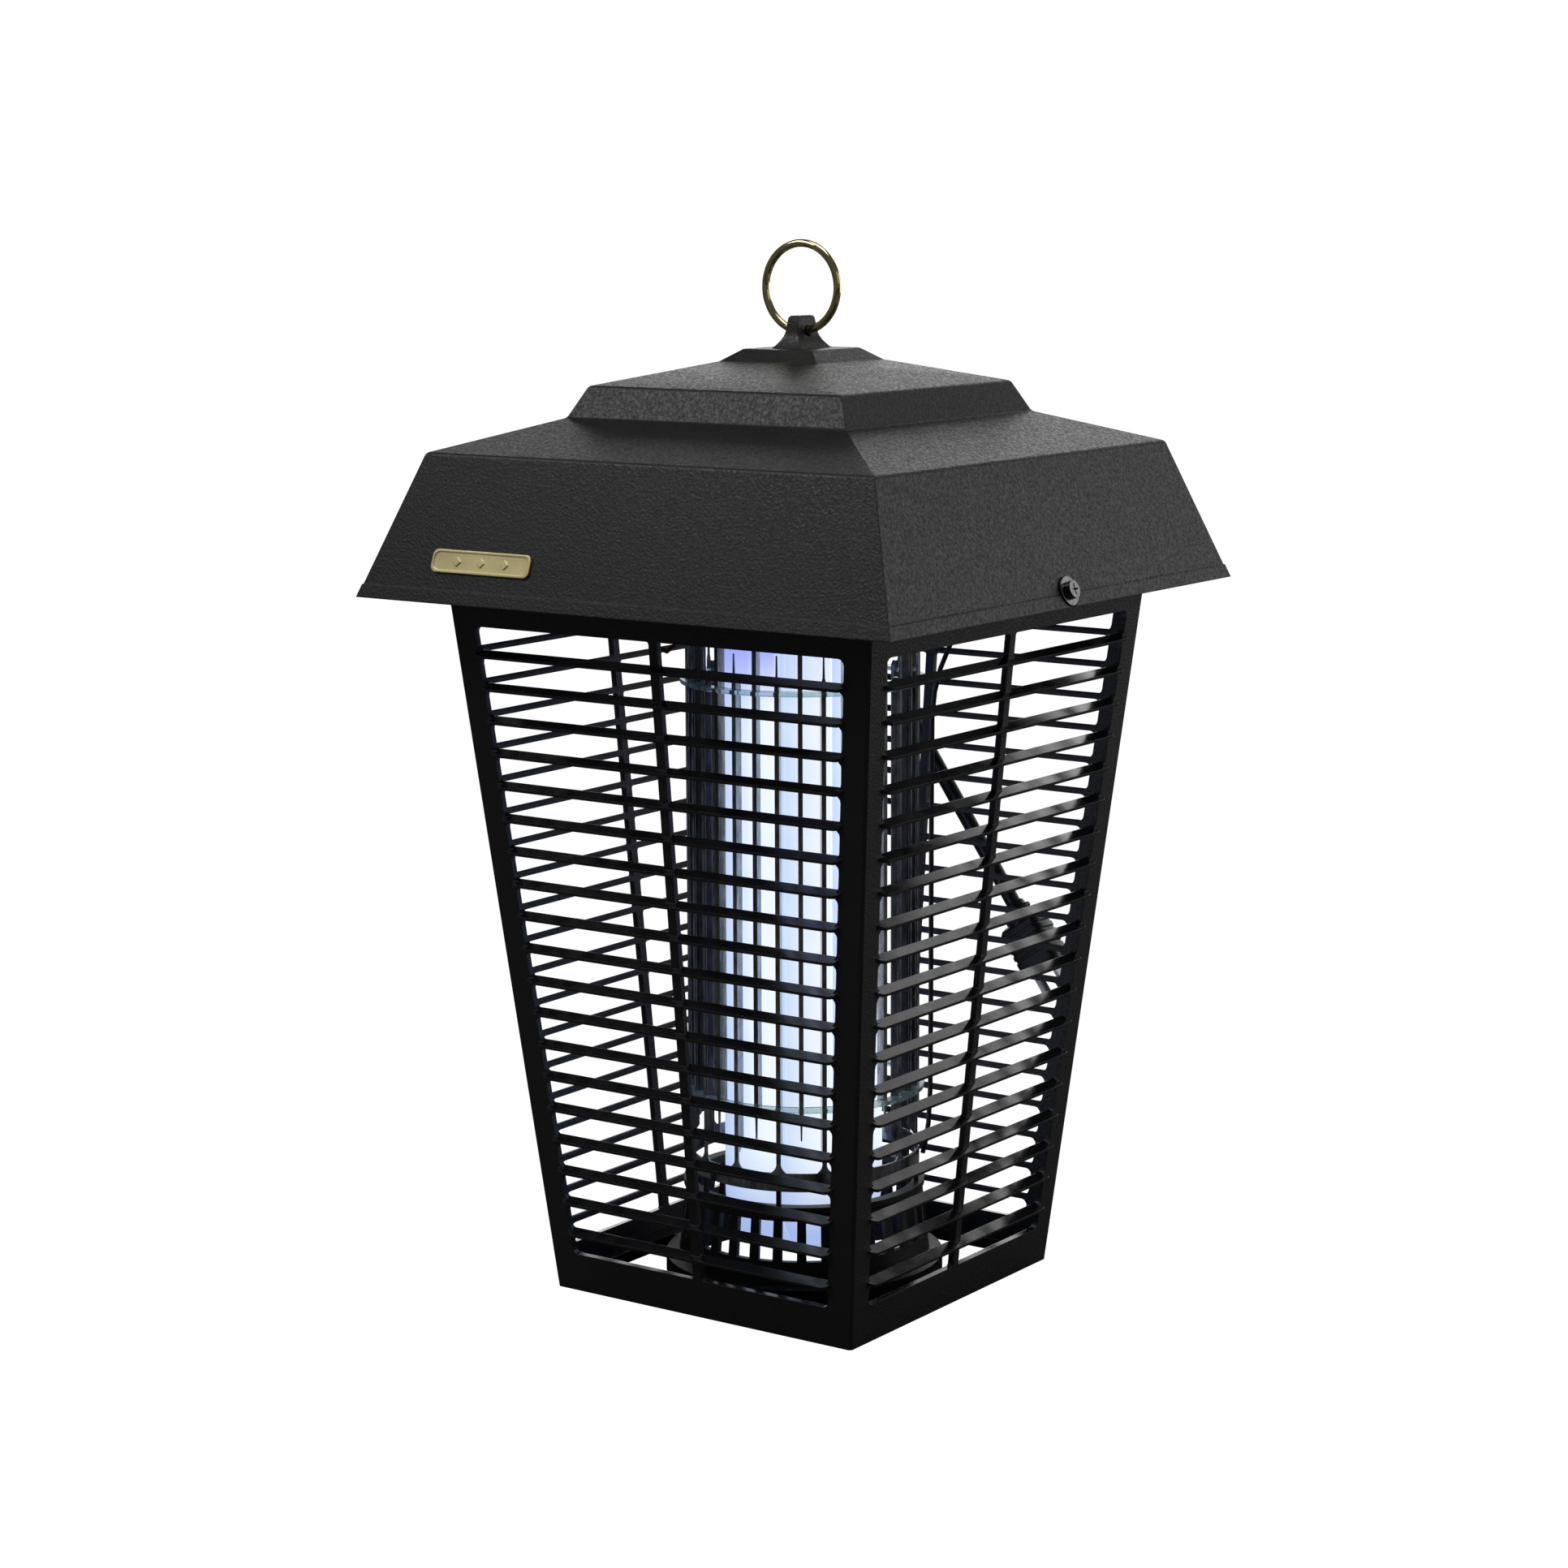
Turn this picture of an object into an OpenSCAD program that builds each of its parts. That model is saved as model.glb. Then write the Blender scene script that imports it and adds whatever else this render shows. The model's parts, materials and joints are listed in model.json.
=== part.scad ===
// Lantern-shaped electric bug zapper, in millimetres, +Z up.
// The origin is the middle of the base, level with the lower edge of the cage.

/* [Roof] */
// Width of the roof across its lower edge
roof_w = 300; // [296:1:304]
// Height of the roof's lower edge above the base
roof_z = 340; // [338:1:342]
// Width across the fold at the top of the skirt
fold_w = 252.6; // [248:0.2:256]
// Height of the skirt
skirt_h = 66.8; // [64:0.2:70]
// Width across the foot of the raised tier
tier_w = 158; // [150:1:166]
// Rise of the slope between the skirt and the tier
slope_h = 15.3; // [13:0.1:18]
// Width across the top of the tier's riser
riser_w = 143.2; // [138:0.2:148]
// Height of the tier's riser
riser_h = 14.6; // [12:0.1:17]
// Width across the foot of the cap
cap_w = 55.6; // [50:0.2:60]
// Rise of the slope between the riser and the cap
upper_slope_h = 10.8; // [9:0.1:13]
// Width of the cap's flat top
cap_top_w = 39; // [34:0.5:44]
// Height of the cap
cap_h = 5.8; // [4:0.1:8]
// Wall thickness of the roof moulding
roof_wall = 2.5; // [2:0.1:3]

/* [Hanger] */
// Mean radius of the hanging ring
ring_r = 20.5; // [19:0.5:23]
// Radius of the ring's wire
wire_r = 1.9; // [1.6:0.1:2]
// Radius of the hole through the lug
lug_hole_r = 2.6; // [2.5:0.1:2.8]
// Height of the lug above the cap
lug_h = 15.2; // [14:0.2:16]

/* [Cage] */
// Width of the cage across its lower edge
cage_w = 172.8; // [168:0.2:176]
// Width of the cage level with the roof's lower edge
cage_top_w = 239.4; // [234:0.2:242]
// Thickness of a louvred panel
panel_t = 3; // [2.5:0.1:3.5]
// Width of the solid border beside each corner
post_w = 13.5; // [12:0.1:15]
// Height of the solid rail at the bottom of a panel
rail_h = 18.8; // [16:0.1:21]
// Width of the upright bar in the middle of a panel
mid_bar_w = 4.8; // [4:0.1:6]
// Number of slats on a panel
slat_count = 19; // [17:1:19]
// Height from one slat to the next
slat_pitch = 15.72; // [15.5:0.01:15.8]
// Thickness of a slat
slat_t = 1.5; // [1.3:0.1:1.8]
// Distance that a slat stands out in front of its panel
slat_proud = 3.4; // [2.5:0.1:4]
// Downward tilt of a slat, in degrees
slat_tilt = 20; // [14:1:24]

/* [Killing grid] */
// Mean radius of the two comb-shaped electrodes
grid_r = 56; // [55:0.5:57]
// Number of fingers, counting both electrodes
finger_count = 32; // [32:4:32]
// Width of a finger, seen from outside
finger_w = 2.2; // [1.8:0.1:2.4]
// Depth of a finger, towards the lamps
finger_d = 4.6; // [4:0.1:4.8]
// Thickness of the electrode sheet
sheet_t = 1; // [0.8:0.1:1]

/* [Lamps] */
// Radius of a lamp's glass tube
tube_r = 13; // [12.5:0.1:13.2]
// Distance of each lamp from the middle, to the left or the right
lamp_x = 16; // [15.5:0.5:18]
// Distance of a lamp's legs from the middle, to the front or the back
leg_y = 21.5; // [20:0.5:22]
// Height of the centre of a lamp's bend
bend_z = 46; // [46:0.5:50]
// Height of the upper end of the glass
glass_top = 327; // [325:1:328]

/* [Mains lead] */
// Diameter of the cord
cord_d = 7.8; // [7:0.1:8]
// Distance of the hanging cord behind the middle
cord_y = 134; // [133:0.5:135]

/* [Hidden] */

// Fine curves
fine = 64;
// Gap kept between neighbouring pieces
gap = 0.3;
// Far enough to cut right through anything
far = 400;

fold_z = roof_z + skirt_h;
tier_z = fold_z + slope_h;
riser_z = tier_z + riser_h;
cap_z = riser_z + upper_slope_h;
cap_top_z = cap_z + cap_h;
skirt_slope = (roof_w - fold_w) / 2 / skirt_h;
skirt_angle = atan(skirt_slope);
lip_h = 6;
lip_step = 0.5;

lug_top_z = cap_top_z + lug_h;
hole_z = lug_top_z - 7.2;
ring_z = hole_z + ring_r;

cage_slope = (cage_top_w - cage_w) / 2 / roof_z;
cage_angle = atan(cage_slope);
cage_top_z = 346;
window_top_z = 325.9;
slat_depth = 2.8;
slat_overlap = 1.2;
slat_corner_r = 3.6;
post_corner_r = 3;
bar_corner_r = 1.2;
web_top = 0.1;
web_bottom = 2.5;
corner_trim = 0.9;

plate_z = 349;
plate_t = 1.5;
plate_top = plate_z + plate_t;
plate_half = 117;
ear_w = 22;
screw_z = 347;
screw_r = 2.2;
washer_r = 7;
cord_x = -28;
relief_r = 7.6;

base_z = 3;
base_top = 9;
foot_r = 63;
base_ring_in = 58;
base_ring_out = 68;
rim_z = 46;
band_low_z = 57;
band_low_top = 66;
band_high_z = 330;
band_high_top = 339;
finger_top = 314;
finger_low = 82;
lower_spacer_z = 96;
upper_spacer_z = 295;
insulator_ribs = 32;
slot_low_z = 23.5;
slot_high_z = 43;

cap_len = 10;
pin_len = 6;
pin_y = 6.35;
socket_half = 13;
socket_z = glass_top + cap_len + gap;

cord_r = cord_d / 2;
// Route of the cord in the plane behind the cage, as X and Z
cord_route = [
  [-28, 322], [-28, 311], [-28, 301], [-28, 291], [-27.5, 279], [-26, 267],
  [-22.5, 255.5], [-17, 245.5], [-10.5, 236], [-3.5, 226], [3.5, 216],
  [10.5, 206], [17, 196.5], [24, 186.5], [30.5, 177], [37, 167.5]
];
plug_tilt = 145.5;

// Unit vector along v
function unit(v) = v / norm(v);
// v turned a quarter turn to the left
function left_of(v) = [-v[1], v[0]];
// Arc of radius r that rounds corner b of the path a, b, c in n steps
function corner_arc(a, b, c, r, n) =
  let (
    p = unit(a - b),
    q = unit(c - b),
    half = acos(p * q) / 2,
    middle = b + unit(p + q) * r / sin(half),
    from = b + p * r / tan(half) - middle,
    to = b + q * r / tan(half) - middle
  )
  [for (i = [0:n]) middle + r * unit(from * (1 - i / n) + to * i / n)];
// Closed outline with corner i rounded to radii[i]
function rounded(pts, radii, n) =
  let (count = len(pts))
  [for (i = [0:count - 1])
    each radii[i] == 0 ? [pts[i]] :
      corner_arc(pts[(i + count - 1) % count], pts[i], pts[(i + 1) % count], radii[i], n)];
// Open path with its inner corners rounded
function soft_path(pts, r, n) =
  let (last = len(pts) - 1)
  [for (i = [0:last])
    each (i == 0 || i == last) ? [pts[i]] : corner_arc(pts[i - 1], pts[i], pts[i + 1], r, n)];
// Open path moved to its left by wall
function inset(pts, wall) =
  let (last = len(pts) - 1)
  [for (i = [0:last])
    let (
      before = left_of(unit(pts[max(i, 1)] - pts[max(i, 1) - 1])),
      after = left_of(unit(pts[min(i, last - 1) + 1] - pts[min(i, last - 1)]))
    )
    pts[i] + wall * (before + after) / (1 + before * after)];
// Path joined to its mirror image, as a closed outline
function both_sides(path) =
  concat(path, [for (i = [len(path) - 1:-1:0]) if (path[i][0] > 0) [-path[i][0], path[i][1]]]);
// Half width of the cage's outer face at height z
function cage_half(z) = cage_w / 2 + cage_slope * z;
// Reference height of slat i, counted from 0 at the top
function slat_z(i) = 329.5 - slat_pitch * (i + 1);

// Square tapering solid whose four sides all follow one outline
module four_sided(outline) {
  intersection() {
    rotate([90, 0, 0])
      linear_extrude(height = far, center = true)
        polygon(outline);
    rotate([90, 0, 90])
      linear_extrude(height = far, center = true)
        polygon(outline);
  }
}

// Square frustum that follows the cage, inset by d, from z0 to z1
module cage_prism(d, z0, z1) {
  lo = cage_half(z0) - d;
  hi = cage_half(z1) - d;
  four_sided([[-lo, z0], [lo, z0], [hi, z1], [-hi, z1]]);
}

// Flat ring between two radii
module ring(r_out, r_in, h, z) {
  translate([0, 0, z])
    rotate_extrude($fn = fine)
      translate([r_in, 0])
        square([r_out - r_in, h]);
}

// Round-headed screw pointing down, with its head's underside at z = 0
module pan_screw(r, head_r, head_h, length) {
  difference() {
    union() {
      cylinder(r = head_r, h = head_h, $fn = fine);
      translate([0, 0, -length])
        cylinder(r = r, h = length + head_h / 2, $fn = fine);
    }
    for (turn = [0, 90])
      rotate([0, 0, turn])
        translate([-head_r * 0.6, -0.4, head_h * 0.55])
          cube([head_r * 1.2, 0.8, head_h]);
  }
}

// Round bar swept along pts, whose rings stay square to the side vector
module swept_tube(pts, r, sides, side) {
  last = len(pts) - 1;
  rings = [for (i = [0:last])
    let (
      t = unit(pts[min(i + 1, last)] - pts[max(i - 1, 0)]),
      n = unit(cross(side, t)),
      b = cross(t, n)
    )
    for (k = [0:sides - 1])
      pts[i] + r * (cos(360 * k / sides) * n + sin(360 * k / sides) * b)];
  skin = [for (i = [0:last - 1]) for (k = [0:sides - 1])
    let (
      here = i * sides + k,
      next = i * sides + (k + 1) % sides
    )
    each [[here, here + sides, next], [next, here + sides, next + sides]]];
  polyhedron(
    points = rings,
    faces = concat(
      [[for (k = [0:sides - 1]) k]],
      [[for (k = [sides - 1:-1:0]) last * sides + k]],
      skin
    )
  );
}

// Outer side of the roof, from the lower edge to the middle of the cap
roof_path = [
  [fold_w / 2 + skirt_slope * (skirt_h - lip_h - 0.3) - lip_step, roof_z + lip_h + 0.3],
  [fold_w / 2 - lip_step, fold_z],
  [tier_w / 2, tier_z],
  [riser_w / 2, riser_z],
  [cap_w / 2, cap_z],
  [cap_top_w / 2, cap_top_z],
  [0, cap_top_z]
];
lip_path = [
  [roof_w / 2, roof_z],
  [fold_w / 2 + skirt_slope * (skirt_h - lip_h), roof_z + lip_h]
];
inner_path = inset(roof_path, roof_wall);

module lug() {
  flare = [for (t = [0:0.2:1]) [1 - t, t]];
  thin = [for (f = flare) [3.3 + 5.5 * f[0] * f[0], cap_top_z - 0.5 + 10.2 * f[1]]];
  wide = [for (f = flare) [7.9 + 5.4 * f[0] * f[0], cap_top_z - 0.5 + 10.2 * f[1]]];
  intersection() {
    rotate([90, 0, 0])
      linear_extrude(height = 60, center = true)
        polygon(both_sides(concat(thin, [[2.8, lug_top_z - 0.7], [2.1, lug_top_z]])));
    rotate([90, 0, 90])
      linear_extrude(height = 60, center = true)
        polygon(both_sides(concat(wide, [[6.7, lug_top_z - 1], [5.7, lug_top_z]])));
  }
}

module roof_shell() color([0.06, 0.06, 0.065]) {
  drop = [skirt_slope, -1] * 12;
  difference() {
    union() {
      four_sided(both_sides(concat(lip_path, soft_path(roof_path, 2.6, 3))));
      lug();
    }
    four_sided(both_sides(concat([inner_path[0] + drop], inner_path)));
    translate([0, 0, hole_z])
      rotate([0, 90, 0])
        cylinder(r = lug_hole_r, h = 40, center = true, $fn = fine);
    for (turn = [0, 180])
      rotate([0, 0, turn])
        skirt_screw_place() {
          cylinder(r = screw_r + 0.2, h = 24, center = true, $fn = fine);
          cylinder(r = washer_r + 0.5, h = 10, $fn = fine);
        }
  }
  translate([0, 0, cap_top_z - roof_wall - 7])
    cylinder(r = 9, h = 7.6, $fn = fine);
}

// Puts a screw, which points down, square to the +X side of the skirt at its outer face
module skirt_screw_place() {
  translate([roof_w / 2 - skirt_slope * (screw_z - roof_z) - lip_step, 0, screw_z])
    rotate([0, 90 - skirt_angle, 0])
      children();
}

// Plain nameplate with a raised border and three lozenges
module badge() color([0.83, 0.68, 0.25]) {
  translate([-79, -roof_w / 2 + skirt_slope * 19 + lip_step, roof_z + 19])
    rotate([90 - skirt_angle, 0, 0]) {
      difference() {
        translate([0, 0, 0.05])
          badge_plate(58, 11, 1.05);
        translate([0, 0, 0.7])
          badge_plate(55.6, 8.6, 1);
      }
      for (x = [-14, 0, 14])
        translate([x, 0, 0.4])
          rotate([0, 0, 45])
            translate([-1.6, -1.6, 0])
              cube([3.2, 3.2, 0.8]);
    }
}

module badge_plate(w, h, t) {
  linear_extrude(height = t)
    polygon(rounded([[-w / 2, -h / 2], [w / 2, -h / 2], [w / 2, h / 2], [-w / 2, h / 2]],
                    [3, 3, 3, 3], 4));
}

module roof_screws() color([0.16, 0.16, 0.17]) {
  for (turn = [0, 180])
    rotate([0, 0, turn])
      skirt_screw_place()
        translate([0, 0, 1.4])
          pan_screw(screw_r, 4.2, 2.6, 11);
}

module screw_washers() color([0.2, 0.2, 0.21]) {
  for (turn = [0, 180])
    rotate([0, 0, turn])
      skirt_screw_place()
        difference() {
          translate([0, 0, 0.15])
            cylinder(r = washer_r, h = 1.1, $fn = fine);
          cylinder(r = screw_r + 0.25, h = 9, center = true, $fn = fine);
        }
}

module hanging_ring() color([0.8, 0.62, 0.2]) {
  translate([0, 0, ring_z])
    rotate([90, 0, 0])
      rotate_extrude($fn = 96)
        translate([ring_r, 0])
          circle(r = wire_r, $fn = 24);
}

// One slat of the front panel, with its outer corners rounded
module slat(i) {
  z = slat_z(i);
  half = cage_half(z) - post_w + slat_overlap;
  translate([0, -cage_half(z), z])
    rotate([slat_tilt, 0, 0])
      translate([0, 0, -slat_t])
        linear_extrude(height = slat_t)
          polygon(rounded(
            [[-half, -slat_proud], [half, -slat_proud], [half, slat_depth], [-half, slat_depth]],
            [slat_corner_r, slat_corner_r, 0, 0], 4));
}

// One window between two slats, on side s of the middle bar
module window(low, high, s) {
  v0 = low / cos(cage_angle);
  v1 = high / cos(cage_angle);
  bar = mid_bar_w / 2;
  outline = [[bar, v0], [cage_half(low) - post_w, v0], [cage_half(high) - post_w, v1], [bar, v1]];
  scale_x = [[s, 0], [0, 1]];
  polygon([for (p = rounded(outline, [bar_corner_r, post_corner_r, post_corner_r, bar_corner_r], 3))
    scale_x * p]);
}

// Louvred panel that faces -Y before it is turned
module louvre_panel(turn) color([0.05, 0.05, 0.055]) {
  v_top = cage_top_z / cos(cage_angle) + 2;
  rotate([0, 0, turn]) {
    intersection() {
      translate([0, -cage_w / 2, 0])
        rotate([90 + cage_angle, 0, 0])
          translate([0, 0, -panel_t])
            linear_extrude(height = panel_t)
              difference() {
                translate([-roof_w / 2, -2])
                  square([roof_w, v_top + 2]);
                for (i = [0:slat_count])
                  for (s = [-1, 1])
                    window(
                      i == slat_count ? rail_h : slat_z(i) - web_top,
                      i == 0 ? window_top_z : slat_z(i - 1) - web_bottom,
                      s);
              }
      linear_extrude(height = cage_top_z)
        polygon([[0, 0], [-roof_w / 2, -roof_w / 2], [roof_w / 2, -roof_w / 2]]);
      rotate([0, 0, 45])
        corner_prism();
    }
    for (i = [0:slat_count - 1])
      slat(i);
  }
}

// Square frustum, set corner to corner, that takes the sharp edge off the cage's corners
module corner_prism() {
  lo = cage_half(-5) * sqrt(2) - corner_trim;
  hi = cage_half(360) * sqrt(2) - corner_trim;
  four_sided([[-lo, -5], [lo, -5], [hi, 360], [-hi, 360]]);
}

module front_panel() louvre_panel(0);
module right_panel() louvre_panel(90);
module back_panel() louvre_panel(180);
module left_panel() louvre_panel(270);

// Square collar that caps the four panels and carries the chassis
module top_frame() color([0.07, 0.07, 0.075]) {
  difference() {
    union() {
      cage_prism(0.4, cage_top_z, plate_z);
      cage_prism(panel_t + gap + 0.1, cage_top_z - 8, cage_top_z + 1);
    }
    translate([0, 0, plate_z - 15])
      linear_extrude(height = 40)
        square(2 * (cage_half(cage_top_z - 8) - panel_t - 5), center = true);
  }
}

// Floor of the cage: a square rim, four arms and a ring for the insulator
module base_frame() color([0.06, 0.06, 0.065]) {
  inner = cage_half(base_z) - panel_t - 9;
  difference() {
    cage_prism(panel_t + 0.15, base_z, base_top);
    linear_extrude(height = 40)
      square(2 * inner, center = true);
  }
  difference() {
    union() {
      ring(base_ring_out, base_ring_in, base_top - base_z, base_z);
      for (turn = [0:90:270])
        rotate([0, 0, turn])
          translate([foot_r, -9, base_z])
            cube([inner + 2 - foot_r, 18, base_top - base_z]);
    }
    for (turn = [0:90:270])
      rotate([0, 0, turn])
        translate([foot_r, 0, 0])
          cylinder(r = 1.9, h = 40, $fn = fine);
  }
}

module base_screws() color([0.7, 0.7, 0.72]) {
  for (turn = [0:90:270])
    rotate([0, 0, turn])
      translate([foot_r, 0, base_z])
        mirror([0, 0, 1])
          pan_screw(1.6, 3.4, 1.8, 8.5);
}

// Ribbed basket that holds the lower electrode clear of the base
module lower_insulator() color([0.05, 0.05, 0.055]) {
  wall = [
    [base_ring_in, base_top], [base_ring_out, base_top], [base_ring_out, 12], [61.5, 14],
    [60.5, 22], [58, rim_z], [59, rim_z + 1], [59, 50], [53.5, 50], [53.5, rim_z],
    [55, rim_z - 2], [57.5, 22]
  ];
  difference() {
    rotate_extrude($fn = fine)
      polygon(wall);
    for (i = [0:insulator_ribs / 2 - 1])
      rotate([0, 0, (i + 0.5) * 360 / insulator_ribs])
        translate([-90, -3.6, slot_low_z])
          cube([180, 7.2, slot_high_z - slot_low_z]);
    for (turn = [0:90:270])
      rotate([0, 0, turn])
        translate([foot_r, 0, 0])
          cylinder(r = 1.75, h = base_top + 3.2, $fn = fine);
  }
  for (turn = [22.5:45:337.5])
    rotate([0, 0, turn])
      translate([grid_r - 1, -1.1, 49])
        cube([2, 2.2, band_low_z - 49]);
}

// Ring that hangs the upper electrode from the chassis plate
module upper_insulator() color([0.05, 0.05, 0.055]) {
  difference() {
    rotate_extrude($fn = fine)
      polygon([[53, band_high_top], [59, band_high_top], [59, 345], [68, 346], [68, 348.9], [53, 348.9]]);
    for (turn = [0:90:270])
      rotate([0, 0, turn])
        translate([foot_r, 0, 330])
          cylinder(r = 1.9, h = 40, $fn = fine);
  }
}

// Upright finger of an electrode: foot at z = 0, tip at z = length. A flat face outside carries a fin that stands inwards
module finger(length) {
  half = finger_w / 2;
  shoulder = length - 13;
  outside = sheet_t / 2 - 0.14;
  root = [for (t = [0:0.25:1]) [half + 2.6 * (1 - t) * (1 - t), 4 * t]];
  translate([grid_r - sheet_t / 2 + 0.06, 0, 0])
    rotate([90, 0, 90])
      linear_extrude(height = sheet_t - 0.2)
        polygon(both_sides(concat([[half + 2.6, -2]], root,
                                  [[half, shoulder], [0.55, shoulder + 2.5], [0.35, length]])));
  translate([grid_r, half - 0.05, 0])
    rotate([90, 0, 0])
      linear_extrude(height = finger_w - 0.1)
        polygon([[outside - 0.3, 8], [outside - 0.3, shoulder - 0.5], [outside - finger_d + 1, shoulder - 0.5],
                 [outside - finger_d, shoulder - 2.5], [outside - finger_d, 12], [outside - finger_d + 3, 8]]);
}

module electrode_band(z0, z1) {
  ring(grid_r + sheet_t / 2, grid_r - sheet_t / 2, z1 - z0, z0);
}

module lower_electrode() color([0.62, 0.64, 0.66]) {
  electrode_band(band_low_z, band_low_top);
  for (i = [0:2:finger_count - 1])
    rotate([0, 0, i * 360 / finger_count])
      translate([0, 0, band_low_top])
        finger(finger_top - band_low_top);
}

module upper_electrode() color([0.62, 0.64, 0.66]) {
  electrode_band(band_high_z, band_high_top);
  for (i = [1:2:finger_count - 1])
    rotate([0, 0, i * 360 / finger_count])
      translate([0, 0, band_high_z])
        mirror([0, 0, 1])
          finger(band_high_z - finger_low);
}

// Clear ring with a slot round every finger
module finger_spacer(z) color([0.75, 0.88, 0.85, 0.6]) {
  difference() {
    ring(59, 53.4, 2, z);
    for (i = [0:finger_count - 1])
      rotate([0, 0, i * 360 / finger_count])
        translate([grid_r - finger_d - 0.6, -finger_w / 2 - 0.3, z - 1])
          cube([finger_d + 1.4, finger_w + 0.6, 4]);
  }
}

module lower_spacer() finger_spacer(lower_spacer_z);
module upper_spacer() finger_spacer(upper_spacer_z);

// Puts a child at each leg of the two lamps, which stand side by side
module at_legs() {
  for (x = [-lamp_x, lamp_x])
    for (y = [-leg_y, leg_y])
      translate([x, y, 0])
        children();
}

module uv_tube() color([0.75, 0.82, 1.0, 0.8]) {
  wall = 0.9;
  at_legs()
    translate([0, 0, bend_z])
      difference() {
        cylinder(r = tube_r, h = glass_top - bend_z, $fn = fine);
        translate([0, 0, -1])
          cylinder(r = tube_r - wall, h = far, $fn = fine);
      }
  for (x = [-lamp_x, lamp_x])
    translate([x, 0, bend_z])
      rotate([0, 0, 90])
        rotate([-90, 0, 0])
          rotate_extrude(angle = 180, $fn = fine)
            translate([leg_y, 0])
              difference() {
                circle(r = tube_r, $fn = fine);
                circle(r = tube_r - wall, $fn = fine);
              }
}

module lamp_caps() color([0.78, 0.78, 0.8]) {
  at_legs()
    translate([0, 0, glass_top])
      cylinder(r = tube_r + 0.5, h = cap_len, $fn = fine);
}

module lamp_pins() color([0.8, 0.66, 0.3]) {
  at_legs()
    for (y = [-pin_y, pin_y])
      translate([0, y, glass_top + cap_len])
        cylinder(r = 1.15, h = pin_len, $fn = 24);
}

module lamp_sockets() color([0.9, 0.9, 0.88]) {
  at_legs()
    difference() {
      translate([-socket_half, -socket_half, socket_z])
        cube([2 * socket_half, 2 * socket_half, plate_z - 0.1 - socket_z]);
      for (y = [-pin_y, pin_y])
        translate([0, y, socket_z - 1])
          cylinder(r = 1.45, h = pin_len + 2, $fn = 24);
    }
}

// Steel plate with two ears for the roof screws and one for the mains lead
module chassis_plate() color([0.68, 0.69, 0.7]) {
  ear_r = roof_w / 2 - skirt_slope * (plate_top - roof_z) - roof_wall - 2.6;
  difference() {
    union() {
      translate([-plate_half, -plate_half, plate_z])
        cube([2 * plate_half, 2 * plate_half, plate_t]);
      for (s = [0, 180])
        rotate([0, 0, s]) {
          translate([plate_half - 2, -ear_w / 2, plate_z])
            cube([ear_r - plate_half + 2, ear_w, plate_t]);
          skirt_screw_place()
            translate([-9, -ear_w / 2, -roof_wall - gap - plate_t])
              cube([13.5, ear_w, plate_t]);
        }
      translate([cord_x - 14, plate_half - 2, plate_z])
        cube([28, cord_y + 10 - plate_half, plate_t]);
    }
    for (s = [0, 180])
      rotate([0, 0, s])
        skirt_screw_place()
          cylinder(r = screw_r + 0.1, h = 40, center = true, $fn = fine);
    translate([cord_x, cord_y, plate_z])
      cylinder(r = relief_r - 1.2, h = 20, center = true, $fn = fine);
    for (turn = [0:90:270])
      rotate([0, 0, turn])
        translate([foot_r, 0, plate_z])
          cylinder(r = 1.9, h = 20, center = true, $fn = fine);
    at_legs()
      translate([0, 0, plate_z])
        cylinder(r = 4, h = 20, center = true, $fn = fine);
    for (spot = grommet_spots)
      translate([spot[0], spot[1], plate_z])
        cylinder(r = 4, h = 20, center = true, $fn = fine);
  }
}

module chassis_screws() color([0.7, 0.7, 0.72]) {
  for (turn = [0:90:270])
    rotate([0, 0, turn])
      translate([foot_r, 0, plate_top])
        pan_screw(1.6, 3.6, 2, 7);
}

ballast_box = [96, 42, 34];
ballast_y = -89;
strap_foot = 7;

module ballast_can() color([0.75, 0.75, 0.76]) {
  translate([-ballast_box[0] / 2, ballast_y - ballast_box[1] / 2, plate_top])
    difference() {
      cube(ballast_box);
      translate([-1, -1, 26])
        cube([5, 60, 20]);
      translate([ballast_box[0] - 4, -1, 26])
        cube([5, 60, 20]);
    }
}

// Two bent straps that hold the ballast down
module ballast_straps() color([0.6, 0.6, 0.62]) {
  depth = ballast_box[1];
  for (x = [-30, 22])
    translate([x, ballast_y - depth / 2, plate_top])
      rotate([90, 0, 90])
        linear_extrude(height = 8)
          difference() {
            translate([-strap_foot - 1.5, 0])
              square([depth + 2 * strap_foot + 3, ballast_box[2] + 1.3]);
            translate([-0.3, -1])
              square([depth + 0.6, ballast_box[2] + 1.3]);
            translate([-far - 1.5, 1.2])
              square([far, far]);
            translate([depth + 1.5, 1.2])
              square([far, far]);
          }
}

core_at = [-58, 50];

// Laminated iron core with the coil's two windows
module transformer_core() color([0.35, 0.35, 0.37]) {
  translate([core_at[0], core_at[1], plate_top])
    difference() {
      translate([-30, -15, 0])
        cube([60, 30, 50]);
      for (x = [-20, 10])
        translate([x, -20, 10])
          cube([10, 40, 30]);
    }
}

module transformer_coil() color([0.72, 0.4, 0.16]) {
  translate([core_at[0], core_at[1], plate_top + 10.4])
    linear_extrude(height = 29.2)
      difference() {
        polygon(rounded([[-19.6, -24], [19.6, -24], [19.6, 24], [-19.6, 24]], [4, 4, 4, 4], 4));
        square([20.6, 30.6], center = true);
      }
}

capacitor_at = [30, 70];

module capacitor() color([0.82, 0.83, 0.85]) {
  translate([capacitor_at[0], capacitor_at[1], plate_top + 0.1])
    rotate_extrude($fn = fine)
      polygon([[0, 0], [16, 0], [16, 44], [14.5, 45.5], [0, 45.5]]);
}

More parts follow.
